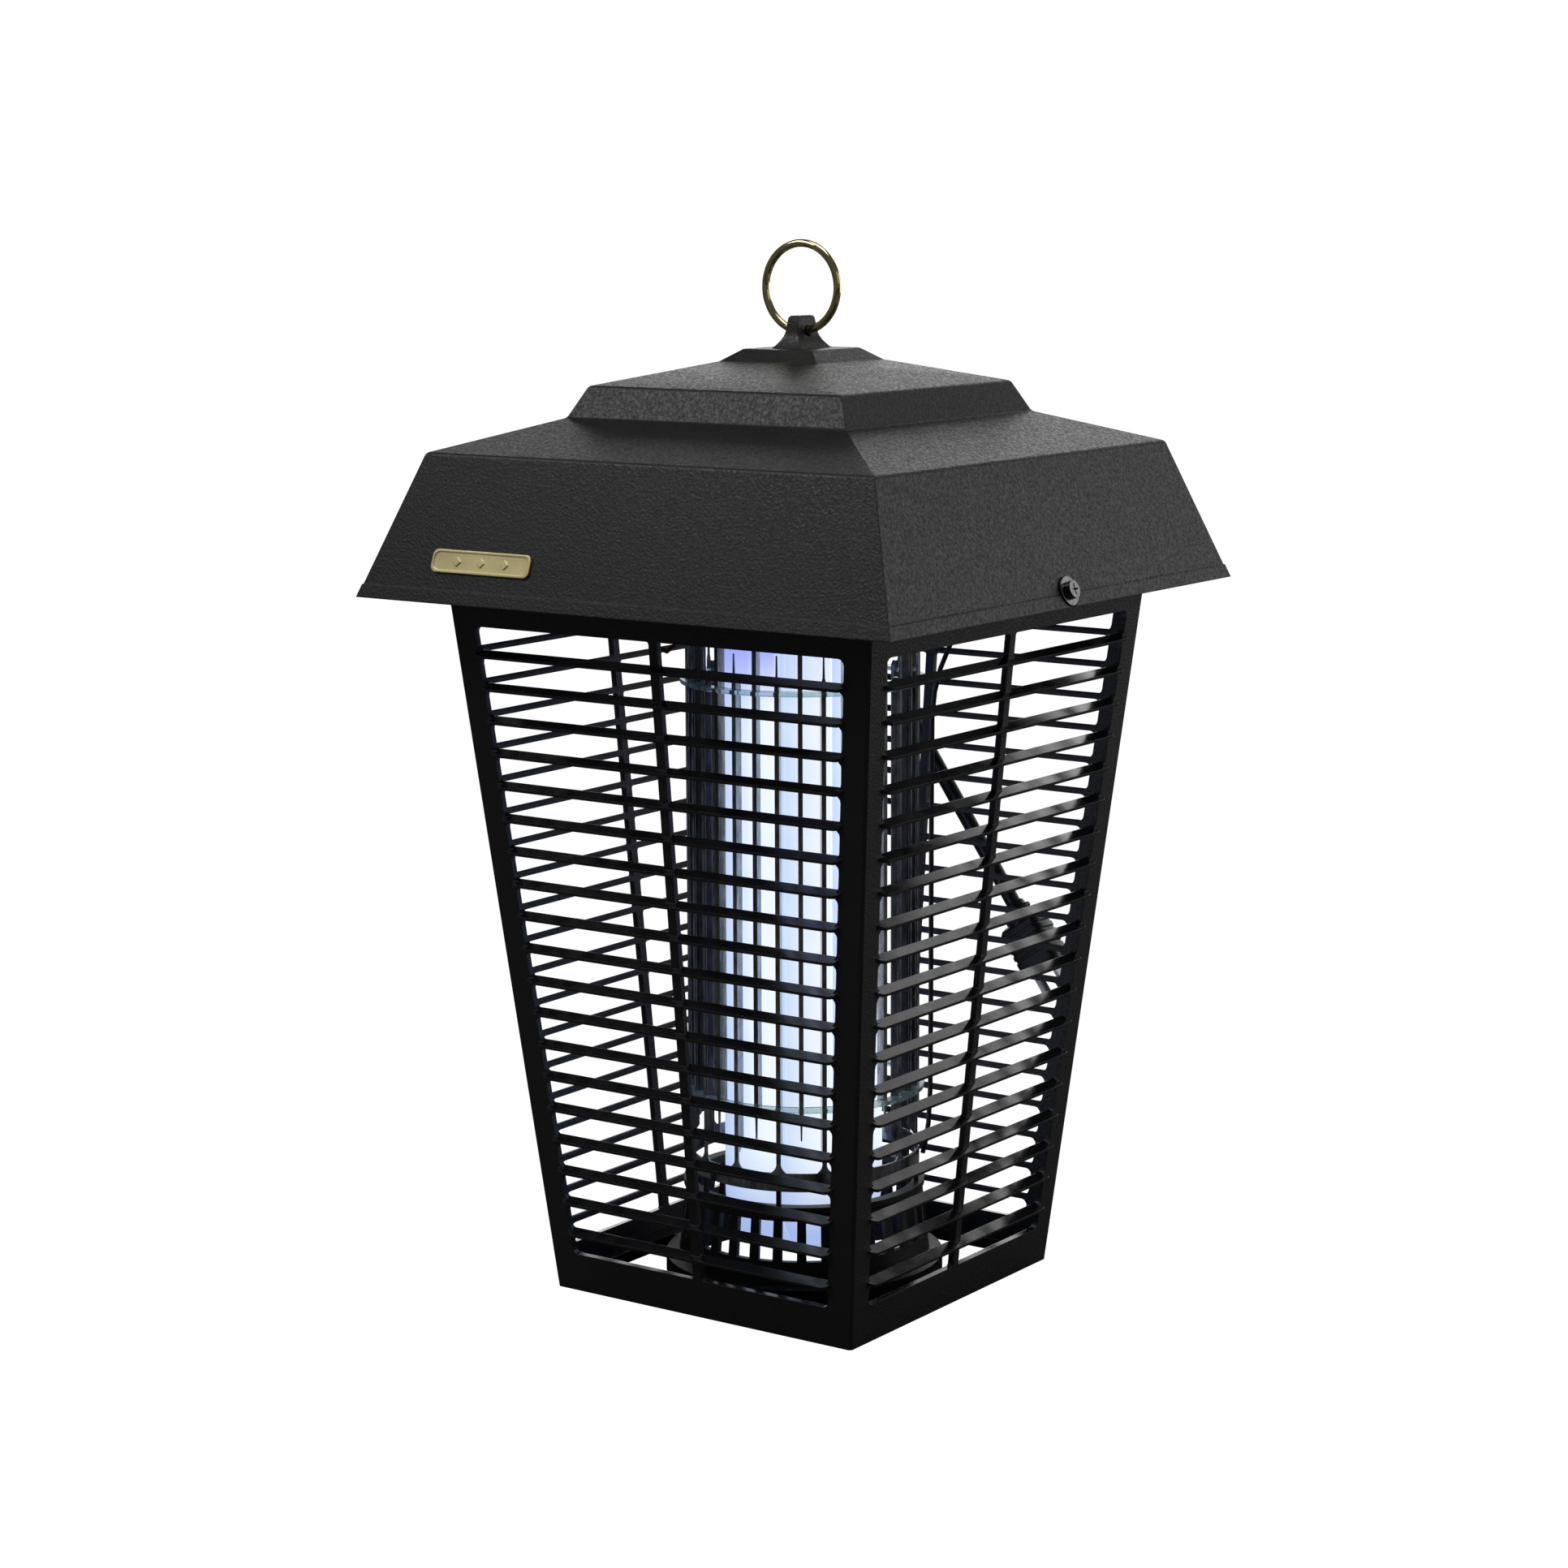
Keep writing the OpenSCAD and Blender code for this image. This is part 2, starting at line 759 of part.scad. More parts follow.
module capacitor_clip() color([0.66, 0.66, 0.68]) {
  translate([capacitor_at[0], capacitor_at[1], plate_top])
    difference() {
      union() {
        ring(17.6, 16.3, 12, 14);
        translate([-4, 16.5, 0])
          cube([8, 1.2, 26]);
        translate([-4, 16.5, 0])
          cube([8, 11, 1.2]);
      }
      cylinder(r = 16.3, h = 60, $fn = fine);
    }
}

starter_at = [82, 6];

module starter() color([0.92, 0.92, 0.9]) {
  translate([starter_at[0], starter_at[1], plate_top + 12.2])
    rotate_extrude($fn = fine)
      polygon([[0, 0], [10.7, 0], [10.7, 31], [9.2, 33], [0, 33]]);
}

module starter_holder() color([0.85, 0.84, 0.8]) {
  translate([starter_at[0], starter_at[1], plate_top])
    difference() {
      translate([-15, -15, 0])
        cube([30, 30, 16]);
      translate([0, 0, 12])
        cylinder(r = 11, h = 10, $fn = fine);
    }
}

block_at = [-28, 100];

module terminal_block() color([0.92, 0.9, 0.82]) {
  translate([block_at[0] - 21, block_at[1] - 9, plate_top])
    difference() {
      cube([42, 18, 15]);
      for (i = [0:2])
        translate([7 + 14 * i, 9, 8]) {
          cylinder(r = 3.2, h = 10, $fn = 24);
          rotate([90, 0, 0])
            cylinder(r = 2.4, h = 40, center = true, $fn = 24);
        }
    }
}

module terminal_screws() color([0.8, 0.7, 0.4]) {
  for (i = [0:2])
    translate([block_at[0] - 14 + 14 * i, block_at[1], plate_top + 13])
      difference() {
        cylinder(r = 2.9, h = 2, $fn = 24);
        translate([-4, -0.4, 1])
          cube([8, 0.8, 3]);
      }
}

// Holes that the two high-voltage leads come down through
grommet_spots = [[-63.5, -45], [63.5, 45]];

module lead_grommets() color([0.1, 0.1, 0.1]) {
  for (spot = grommet_spots)
    translate([spot[0], spot[1], plate_z - 1.5])
      rotate_extrude($fn = 32)
        polygon([[1.5, 0], [5.5, 0], [5.5, 1.3], [3.8, 1.3], [3.8, 3.2], [5.5, 3.2], [5.5, 4.5], [1.5, 4.5]]);
}

// Lead of the upper electrode: distance out from the middle, and height
upper_lead = [
  [77.8, 358], [77.8, 344], [77, 330], [74.5, 318], [70, 311], [65, 309],
  [61, 312], [58.8, 320], [58.2, 328], [58, 334]
];
// Lead of the lower electrode, which goes down behind the grid
lower_lead = [
  [77.8, 358], [77.8, 344], [77, 331], [74.2, 320], [70, 310], [66, 300], [63.4, 289],
  [62.2, 277], [62, 230], [62, 180], [62, 130], [61.8, 92], [61, 76], [59.5, 66], [58.2, 60.5]
];

// Tube in the upright plane through the middle, with lead_dir as its outward direction
module radial_lead(route, out) {
  swept_tube([for (p = route) [p[0] * out[0], p[0] * out[1], p[1]]], 1.2, 8, [-out[1], out[0], 0]);
}

module grid_leads() color([0.45, 0.12, 0.1]) {
  out = unit(grommet_spots[0]);
  radial_lead(upper_lead, out);
  radial_lead(lower_lead, -out);
}

// Lead from each lamp socket, up through the plate: the front two go to the ballast, the back two to the starter
module lamp_leads() color([0.9, 0.9, 0.9]) {
  for (x = [-lamp_x, lamp_x])
    swept_tube([[x, -leg_y, 349.2], [x, -leg_y, 354], [x, -25, 358], [x, -31, 360],
                [0.95 * x, -45, 360], [0.9 * x, -67.8, 360]], 1.3, 8, [1, 0, 0]);
  swept_tube([[lamp_x, leg_y, 349.2], [lamp_x, leg_y, 354], [20, 21, 358], [27, 19, 360],
              [40, 14, 360], [55, 9, 360], [66.2, 6, 360]], 1.3, 8, [0, 1, 0]);
  swept_tube([[-lamp_x, leg_y, 349.2], [-lamp_x, leg_y, 354], [-12, 20, 358], [-4, 16, 361],
              [10, 8, 361], [35, 1, 361], [55, -1, 361], [66.2, -2, 361]], 1.3, 8, [0, 1, 0]);
}

// Three conductors from the strain relief to the terminal block
module mains_leads() color([0.15, 0.35, 0.2]) {
  for (i = [0:2])
    swept_tube([[cord_x + 2.6 * (i - 1), 134, 353.6], [cord_x + 3 * (i - 1), 133, 357],
                [cord_x + 5 * (i - 1), 128, 360.5], [cord_x + 9 * (i - 1), 121, 361],
                [cord_x + 13 * (i - 1), 113, 359], [cord_x + 14 * (i - 1), 109.4, 358.5]],
               1.1, 8, [1, 0, 0]);
}

// Flanged bush that grips the cord, with a long taper below the plate
module strain_relief() color([0.05, 0.05, 0.055]) {
  translate([cord_x, cord_y, 0])
    rotate_extrude($fn = fine)
      polygon([[0, cord_route[0][1]], [4.9, cord_route[0][1]], [6.1, 342], [8.6, 342.6], [8.6, plate_z - 0.1],
               [relief_r - 1.5, plate_z - 0.1], [relief_r - 1.5, plate_top + 0.1],
               [relief_r, plate_top + 0.1], [relief_r, 353], [0, 353]]);
}

module cord() color([0.04, 0.04, 0.045]) {
  swept_tube([for (p = cord_route) [p[0], cord_y, p[1]]], cord_r, 12, [0, 1, 0]);
}

// Puts the plug's own frame, whose +Z points out of its blades, at the end of the cord
module plug_place() {
  tip = cord_route[len(cord_route) - 1];
  translate([tip[0], cord_y, tip[1]])
    rotate([0, plug_tilt, 0])
      children();
}

sleeve_len = 10;
plug_len = 27;
plug_face = sleeve_len + plug_len;

// Moulded three-pin plug with a ribbed sleeve
module plug_body() color([0.045, 0.045, 0.05]) {
  outline = rounded([[-13, -9], [13, -9], [9, 12], [-9, 12]], [5, 5, 6, 6], 4);
  plug_place()
    difference() {
      union() {
        rotate_extrude($fn = fine)
          polygon([[0, 0.05], [5.2, 0.05], [5.6, 3], [7.2, 3.2], [7.2, 5], [5.8, 5.2], [5.8, 7],
                   [8, 7.2], [8.6, sleeve_len + 3], [0, sleeve_len + 3]]);
        translate([0, 0, sleeve_len])
          linear_extrude(height = plug_len)
            polygon(outline);
      }
      for (s = [-1, 1])
        for (i = [0:3])
          translate([s * 14.2, 0, sleeve_len + 6 + 4 * i])
            cube([4, 30, 1.6], center = true);
    }
}

module plug_blades() color([0.8, 0.72, 0.5]) {
  plug_place()
    for (x = [-6.35, 6.35])
      translate([x - 0.75, -6.2, plug_face + 0.05])
        rotate([90, 0, 90])
          linear_extrude(height = 1.5)
            polygon([[0, 0], [6.3, 0], [6.3, 14.5], [5.3, 16], [1, 16], [0, 14.5]]);
}

module plug_ground_pin() color([0.8, 0.72, 0.5]) {
  plug_place()
    translate([0, 6.5, plug_face + 0.05])
      rotate_extrude($fn = 32)
        polygon([[0, 0], [2.4, 0], [2.4, 15.5], [1.4, 18], [0, 18]]);
}

roof_shell();
badge();
roof_screws();
screw_washers();
hanging_ring();
front_panel();
right_panel();
back_panel();
left_panel();
top_frame();
base_frame();
base_screws();
lower_insulator();
upper_insulator();
lower_electrode();
upper_electrode();
lower_spacer();
upper_spacer();
uv_tube();
lamp_caps();
lamp_pins();
lamp_sockets();
chassis_plate();
chassis_screws();
ballast_can();
ballast_straps();
transformer_core();
transformer_coil();
capacitor();
capacitor_clip();
starter();
starter_holder();
terminal_block();
terminal_screws();
grid_leads();
lead_grommets();
lamp_leads();
mains_leads();
strain_relief();
cord();
plug_body();
plug_blades();
plug_ground_pin();
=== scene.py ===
import json
import math

import bmesh
import bpy
from mathutils import Matrix, Vector


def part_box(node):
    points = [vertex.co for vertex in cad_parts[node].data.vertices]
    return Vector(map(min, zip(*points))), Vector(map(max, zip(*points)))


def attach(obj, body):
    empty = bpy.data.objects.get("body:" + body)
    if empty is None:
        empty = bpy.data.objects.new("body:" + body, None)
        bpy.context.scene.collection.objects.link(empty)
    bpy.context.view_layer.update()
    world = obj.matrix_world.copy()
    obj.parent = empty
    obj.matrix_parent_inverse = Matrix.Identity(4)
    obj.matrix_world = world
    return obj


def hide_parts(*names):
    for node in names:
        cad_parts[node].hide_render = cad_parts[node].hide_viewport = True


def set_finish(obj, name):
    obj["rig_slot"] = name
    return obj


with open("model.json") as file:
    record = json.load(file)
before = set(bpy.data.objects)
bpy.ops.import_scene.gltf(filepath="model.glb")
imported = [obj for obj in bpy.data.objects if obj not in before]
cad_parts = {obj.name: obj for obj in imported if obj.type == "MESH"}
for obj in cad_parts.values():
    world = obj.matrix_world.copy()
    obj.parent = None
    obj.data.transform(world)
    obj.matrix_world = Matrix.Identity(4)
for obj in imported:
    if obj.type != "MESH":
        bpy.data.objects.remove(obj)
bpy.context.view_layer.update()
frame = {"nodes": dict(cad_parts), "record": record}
nodes = frame["nodes"]
scene = bpy.context.scene
mm = 0.001
print("frame loaded,", len(nodes), "nodes")


cameraSettings = {
    "place": (0.9705, -1.3864, 0.5328),     # metres
    "azimuth": 35.302,      # degrees round from straight in front
    "elevation": 9.673,
    "roll": -0.229,
    "lens": 81.75,
    "sensor": 36,
}


def addCamera(settings):
    azimuth, elevation, roll = (math.radians(settings[k]) for k in ("azimuth", "elevation", "roll"))
    back = Vector((math.sin(azimuth) * math.cos(elevation),
                   -math.cos(azimuth) * math.cos(elevation), math.sin(elevation)))
    side = Vector((math.cos(azimuth), math.sin(azimuth), 0))
    up = back.cross(side)
    turnedSide = side * math.cos(roll) + up * math.sin(roll)
    turnedUp = up * math.cos(roll) - side * math.sin(roll)
    camera = bpy.data.objects.new("camera", bpy.data.cameras.new("camera"))
    camera.data.lens = settings["lens"]
    camera.data.sensor_width = settings["sensor"]
    turn = Matrix((turnedSide, turnedUp, back)).transposed()
    camera.matrix_world = Matrix.Translation(settings["place"]) @ turn.to_4x4()
    scene.collection.objects.link(camera)
    scene.camera = camera


addCamera(cameraSettings)
print("camera placed")


cordSettings = {
    # route is (left to right, height) in mm, from the strain relief down to the plug
    "depth": 134,           # how far behind the middle it hangs, mm
    "diameter": 7.8,
    "route": [(-28, 322), (-28, 311), (-28, 301), (-28, 291), (-27.5, 279), (-26, 267), (-22.5, 255.5),
              (-17, 245.5), (-10.5, 236), (-3.5, 226), (3.5, 216), (10.5, 206), (17, 196.5), (24, 186.5),
              (30.5, 177), (37, 167.5)],
    "length": 0.173,        # metres
}


mergeDistance = 1e-6        # metres


def linkPiece(name, data):
    piece = bpy.data.objects.new(name, data)
    scene.collection.objects.link(piece)
    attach(piece, "housing")
    return piece


def meshFrom(name, work):
    bmesh.ops.remove_doubles(work, verts=work.verts, dist=mergeDistance)
    bmesh.ops.recalc_face_normals(work, faces=work.faces)
    for face in work.faces:
        face.smooth = True
    mesh = bpy.data.meshes.new(name)
    work.to_mesh(mesh)
    work.free()
    return mesh


def spinProfile(work, profile, steps=48):
    # turns a list of (radius, height) points into a round solid about the upright axis
    points = [work.verts.new((radius, 0, height)) for radius, height in profile]
    edges = [work.edges.new(pair) for pair in zip(points, points[1:])]
    bmesh.ops.spin(work, geom=points + edges, cent=(0, 0, 0), axis=(0, 0, 1), angle=math.tau,
                   steps=steps, use_merge=True)


def makeCord(settings):
    depth, route = settings["depth"] * mm, settings["route"]
    line = bpy.data.curves.new("mains_cord", "CURVE")
    line.dimensions = "3D"
    line.bevel_depth = 1      # each point's own radius sets the thickness
    line.bevel_resolution = 5
    line.resolution_u = 8
    line.use_fill_caps = True
    spline = line.splines.new("BEZIER")
    spline.bezier_points.add(len(route) - 1)
    for point, (x, z) in zip(spline.bezier_points, route):
        point.co = (x * mm, depth, z * mm)
        point.handle_left_type = point.handle_right_type = "AUTO"
        point.radius = settings["diameter"] * mm / 2
    piece = linkPiece("mains_cord", line)
    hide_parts("cord")
    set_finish(piece, "soft_rubber")
    return piece


reliefSettings = {
    # all in mm, and profiles are (radius, height)
    "place": (-28, 134),
    "grooves": 6,
    "groovePitch": 2.8,
    "grooveLow": 324.2,
    "grooveDepth": 0.8,
    "tipRadius": 4.9,
    "tipHeight": 322,
    "rootRadius": 6.1,
    "rootHeight": 342,
    "tip": [(0, 322), (4.2, 322), (4.7, 322.2)],
    "flange": [(8.0, 342.3), (8.6, 342.9), (8.6, 348.6), (8.3, 348.9), (6.1, 348.9),
               (6.1, 350.6), (7.6, 350.9), (7.3, 352.5), (6.8, 353), (0, 353)],
}


def makeStrainRelief(settings):
    low, high = settings["tipHeight"], settings["rootHeight"]

    def radiusAt(height):
        share = (height - low) / (high - low)
        return settings["tipRadius"] + share * (settings["rootRadius"] - settings["tipRadius"])

    profile = settings["tip"] + [(radiusAt(low + 0.7), low + 0.7)]
    for groove in range(settings["grooves"]):
        base = settings["grooveLow"] + groove * settings["groovePitch"]
        for rise, share in ((0, 0), (0.25, 1), (1.0, 1), (1.25, 0)):
            profile.append((radiusAt(base + rise) - share * settings["grooveDepth"], base + rise))
    profile += [(radiusAt(high), high)] + settings["flange"]
    work = bmesh.new()
    spinProfile(work, [(r * mm, z * mm) for r, z in profile])
    x, y = settings["place"]
    bmesh.ops.translate(work, verts=work.verts, vec=(x * mm, y * mm, 0))
    piece = linkPiece("cord_strain_relief", meshFrom("cord_strain_relief", work))
    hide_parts("strain_relief")
    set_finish(piece, "insulator_plastic")
    return piece


plugSettings = {
    "turn": 145.5,          # degrees about the left-right axis, from pointing straight up
    "place": (37, 134, 167.5),
    "sleeve": 10,
    "outline": [(-13, -9), (13, -9), (9, 12), (-9, 12)],
    "cornerRadius": 4.5,
    "grips": 4,
    "gripPitch": 4,
    "firstGrip": 5.2,
    # (how far up the body, width and depth as shares of the outline)
    "shoulder": [(0, 0.78, 0.74), (0.9, 0.92, 0.9), (2.4, 1, 1)],
    "front": [(24.8, 1, 1), (26.3, 0.98, 0.98), (27, 0.94, 0.93)],
    "sleeveProfile": [(0, 0.05), (4.9, 0.05), (5.3, 0.5), (5.5, 2.6), (5.9, 3), (7.0, 3.1), (7.3, 3.6),
                      (7.3, 4.6), (7.0, 5.1), (6.0, 5.3), (5.8, 5.6), (5.8, 6.8), (6.1, 7.1),
                      (7.9, 7.3), (8.5, 8), (8.7, 12), (0, 13)],
    "sharpAngle": 40,       # degrees
}


def makePlug(settings):
    work = bmesh.new()
    corners = [work.verts.new((x * mm, y * mm, settings["sleeve"] * mm)) for x, y in settings["outline"]]
    work.faces.new(corners)
    bmesh.ops.bevel(work, geom=work.verts[:], offset=settings["cornerRadius"] * mm, segments=5,
                    profile=0.5, affect="VERTICES", material=-1)
    steps = list(settings["shoulder"])
    for grip in range(settings["grips"]):
        base = settings["firstGrip"] + settings["gripPitch"] * grip
        steps += [(base, 1, 1), (base + 0.3, 0.93, 1), (base + 1.5, 0.93, 1), (base + 1.8, 1, 1)]
    steps += settings["front"]
    lastRise, lastWide, lastDeep = steps[0]
    work.faces.ensure_lookup_table()
    face = work.faces[0]
    bmesh.ops.scale(work, verts=face.verts, vec=(lastWide, lastDeep, 1))
    for index, (rise, wide, deep) in enumerate(steps[1:]):
        # the first face stays as the body's floor, and the later ones move up with it
        grown = bmesh.ops.extrude_face_region(work, geom=[face], use_keep_orig=index == 0)
        face = next(g for g in grown["geom"] if isinstance(g, bmesh.types.BMFace))
        bmesh.ops.translate(work, verts=face.verts, vec=(0, 0, (rise - lastRise) * mm))
        bmesh.ops.scale(work, verts=face.verts, vec=(wide / lastWide, deep / lastDeep, 1))
        lastRise, lastWide, lastDeep = rise, wide, deep
    spinProfile(work, [(r * mm, z * mm) for r, z in settings["sleeveProfile"]])
    place = Matrix.Translation(Vector(settings["place"]) * mm)
    turn = Matrix.Rotation(math.radians(settings["turn"]), 4, "Y")
    bmesh.ops.transform(work, matrix=place @ turn, verts=work.verts)
    piece = linkPiece("moulded_plug", meshFrom("moulded_plug", work))
    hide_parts("plug_body")
    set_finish(piece, "soft_rubber")
    edges = piece.modifiers.new("edges", "EDGE_SPLIT")
    edges.split_angle = math.radians(settings["sharpAngle"])
    return piece


mainsCord = makeCord(cordSettings)
strainRelief = makeStrainRelief(reliefSettings)
mouldedPlug = makePlug(plugSettings)
print("cord, strain relief and plug made")


windingSettings = {
    "node": "transformer_coil",
    "wire": 1.15,           # radius, mm
    "layers": 4,
    "layerPitch": 2.07,
    "corner": 4,            # radius of the winding's own corners, mm
}


def makeWinding(settings):
    # layers of wire wound round the core's upright middle limb
    low, high = (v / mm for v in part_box(settings["node"]))
    wire = settings["wire"]
    middle = (low + high) / 2
    line = bpy.data.curves.new("winding", "CURVE")
    line.dimensions = "3D"
    line.bevel_depth = wire * mm
    line.bevel_resolution = 1
    line.use_fill_caps = True
    length = high.z - low.z - 2 * wire
    turns = int(length / (2 * wire))
    for layer in range(settings["layers"]):
        inset = wire + settings["layerPitch"] * layer
        corner = max(settings["corner"] - inset, 0.6)
        straightX = (high.x - low.x) / 2 - inset - corner
        straightY = (high.y - low.y) / 2 - inset - corner
        loop = []
        for signX, signY, first in ((1, 1, 0), (-1, 1, 90), (-1, -1, 180), (1, -1, 270)):
            for step in (0, 45, 90):
                angle = math.radians(first + step)
                loop.append((signX * straightX + corner * math.cos(angle),
                             signY * straightY + corner * math.sin(angle)))
        count = turns * len(loop)
        spline = line.splines.new("POLY")
        spline.points.add(count - 1)
        for index in range(count):
            x, y = loop[index % len(loop)]
            z = low.z + wire + length * index / (count - 1)
            spline.points[index].co = ((middle.x + x) * mm, (middle.y + y) * mm, z * mm, 1)
    shape = bpy.data.objects.new("winding_line", line)
    mesh = bpy.data.meshes.new_from_object(shape)
    bpy.data.objects.remove(shape)
    for face in mesh.polygons:
        face.use_smooth = True
    piece = linkPiece("high_voltage_winding", mesh)
    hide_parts(settings["node"])
    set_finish(piece, "coil_copper")
    return piece


winding = makeWinding(windingSettings)
print("winding made")


def newFinish(name):
    material = bpy.data.materials.new(name)
    material.use_nodes = True
    tree = material.node_tree
    shader = tree.nodes["Principled BSDF"]
    place = tree.nodes.new("ShaderNodeTexCoord").outputs["Object"]
    return material, tree, shader, place


def addNoise(tree, place, scale, detail=3, roughness=0.6, stretch=None):
    if stretch:
        mapping = tree.nodes.new("ShaderNodeMapping")
        mapping.inputs["Scale"].default_value = stretch
        tree.links.new(place, mapping.inputs["Vector"])
        place = mapping.outputs["Vector"]
    noise = tree.nodes.new("ShaderNodeTexNoise")
    noise.inputs["Scale"].default_value = scale
    noise.inputs["Detail"].default_value = detail
    noise.inputs["Roughness"].default_value = roughness
    tree.links.new(place, noise.inputs["Vector"])
    return noise.outputs["Fac"]


def addCells(tree, place, scale):
    cells = tree.nodes.new("ShaderNodeTexVoronoi")
    cells.feature = "SMOOTH_F1"
    cells.inputs["Scale"].default_value = scale
    tree.links.new(place, cells.inputs["Vector"])
    return cells.outputs["Distance"]


def addSplit(tree, vector):
    split = tree.nodes.new("ShaderNodeSeparateXYZ")
    tree.links.new(vector, split.inputs["Vector"])
    return split.outputs


def objectNormal(tree):
    return next(n for n in tree.nodes if n.type == "TEX_COORD").outputs["Normal"]


def addRange(tree, value, low, high, outLow, outHigh):
    change = tree.nodes.new("ShaderNodeMapRange")
    for socket, number in zip(("From Min", "From Max", "To Min", "To Max"), (low, high, outLow, outHigh)):
        change.inputs[socket].default_value = number
    tree.links.new(value, change.inputs["Value"])
    return change.outputs["Result"]


def addMath(tree, kind, first, second):
    step = tree.nodes.new("ShaderNodeMath")
    step.operation = kind
    for socket, value in zip(step.inputs, (first, second)):
        if isinstance(value, (int, float)):
            socket.default_value = value
        else:
            tree.links.new(value, socket)
    return step.outputs["Value"]


def addMix(tree, share, first, second):
    mix = tree.nodes.new("ShaderNodeMix")
    mix.data_type = "RGBA"
    tree.links.new(share, mix.inputs["Factor"])
    for socket, colour in ((mix.inputs[6], first), (mix.inputs[7], second)):
        if isinstance(colour, tuple):
            socket.default_value = (*colour, 1)
        else:
            tree.links.new(colour, socket)
    return mix.outputs[2]


def addBumps(tree, shader, layers, rounding=0):
    # each layer is (height, strength, depth in metres); rounding softens hard edges
    normal = None
    if rounding:
        bevel = tree.nodes.new("ShaderNodeBevel")
        bevel.samples = 4
        bevel.inputs["Radius"].default_value = rounding
        normal = bevel.outputs["Normal"]
    for height, strength, depth in layers:
        bump = tree.nodes.new("ShaderNodeBump")
        bump.inputs["Strength"].default_value = strength
        bump.inputs["Distance"].default_value = depth
        tree.links.new(height, bump.inputs["Height"])
        if normal:
            tree.links.new(normal, bump.inputs["Normal"])
        normal = bump.outputs["Normal"]
    tree.links.new(normal, shader.inputs["Normal"])


def addWear(tree, place, rounding, scale):
    # a mask of the edges, broken up as rubbing does
    bevel = tree.nodes.new("ShaderNodeBevel")
    bevel.samples = 4
    bevel.inputs["Radius"].default_value = rounding
    facing = tree.nodes.new("ShaderNodeVectorMath")
    facing.operation = "DOT_PRODUCT"
    geometry = tree.nodes.new("ShaderNodeNewGeometry")
    tree.links.new(bevel.outputs["Normal"], facing.inputs[0])
    tree.links.new(geometry.outputs["Normal"], facing.inputs[1])
    edge = addRange(tree, facing.outputs["Value"], 0.99, 0.8, 0, 1)
    rub = addRange(tree, addNoise(tree, place, scale, 4), 0.48, 0.66, 0, 1)
    return addMath(tree, "MULTIPLY", edge, rub)


plasticFinishes = {
    # dark and light are the two tones of the moulding, rough its gloss range, flat the gloss of level faces
    "roof_plastic": {"dark": (0.0075, 0.0075, 0.008), "light": (0.0115, 0.0115, 0.012),
                     "worn": (0.022, 0.022, 0.022), "rough": (0.3, 0.6), "flat": None,
                     "pebble": 900, "pebbleDepth": 0.00014, "grain": 2100, "rounding": 0.0008},
    "cage_plastic": {"dark": (0.0075, 0.0075, 0.0085), "light": (0.012, 0.012, 0.0136),
                     "worn": (0.018, 0.018, 0.018), "rough": (0.4, 0.56), "flat": (0.1, 0.2),
                     "pebble": 1000, "pebbleDepth": 0.0002, "grain": 2600, "rounding": 0.0004},
    "insulator_plastic": {"dark": (0.003, 0.003, 0.0035), "light": (0.006, 0.006, 0.0065),
                          "worn": (0.016, 0.016, 0.016), "rough": (0.44, 0.58), "flat": None,
                          "pebble": 1400, "pebbleDepth": 0.00008, "grain": 3600, "rounding": 0.0004},
    "soft_rubber": {"dark": (0.005, 0.005, 0.0055), "light": (0.011, 0.011, 0.0115),
                    "worn": (0.02, 0.02, 0.02), "rough": (0.32, 0.44), "flat": None,
                    "pebble": 1900, "pebbleDepth": 0.00005, "grain": 5200, "rounding": 0.0004},
    "pale_plastic": {"dark": (0.66, 0.645, 0.59), "light": (0.8, 0.79, 0.74),
                     "worn": (0.55, 0.52, 0.45), "rough": (0.28, 0.42), "flat": None,
                     "pebble": 900, "pebbleDepth": 0.00004, "grain": 2600, "rounding": 0.0003},
    "white_wire": {"dark": (0.6, 0.6, 0.57), "light": (0.76, 0.76, 0.73),
                   "worn": (0.5, 0.5, 0.45), "rough": (0.32, 0.46), "flat": None,
                   "pebble": 1600, "pebbleDepth": 0.00003, "grain": 5200, "rounding": 0.0002},
    "green_wire": {"dark": (0.008, 0.06, 0.018), "light": (0.016, 0.1, 0.03),
                   "worn": (0.05, 0.15, 0.07), "rough": (0.32, 0.46), "flat": None,
                   "pebble": 1600, "pebbleDepth": 0.00003, "grain": 5200, "rounding": 0.0002},
    "red_wire": {"dark": (0.05, 0.008, 0.008), "light": (0.14, 0.02, 0.018),
                 "worn": (0.12, 0.03, 0.025), "rough": (0.3, 0.42), "flat": None,
                 "pebble": 1600, "pebbleDepth": 0.00003, "grain": 5200, "rounding": 0.0002},
}

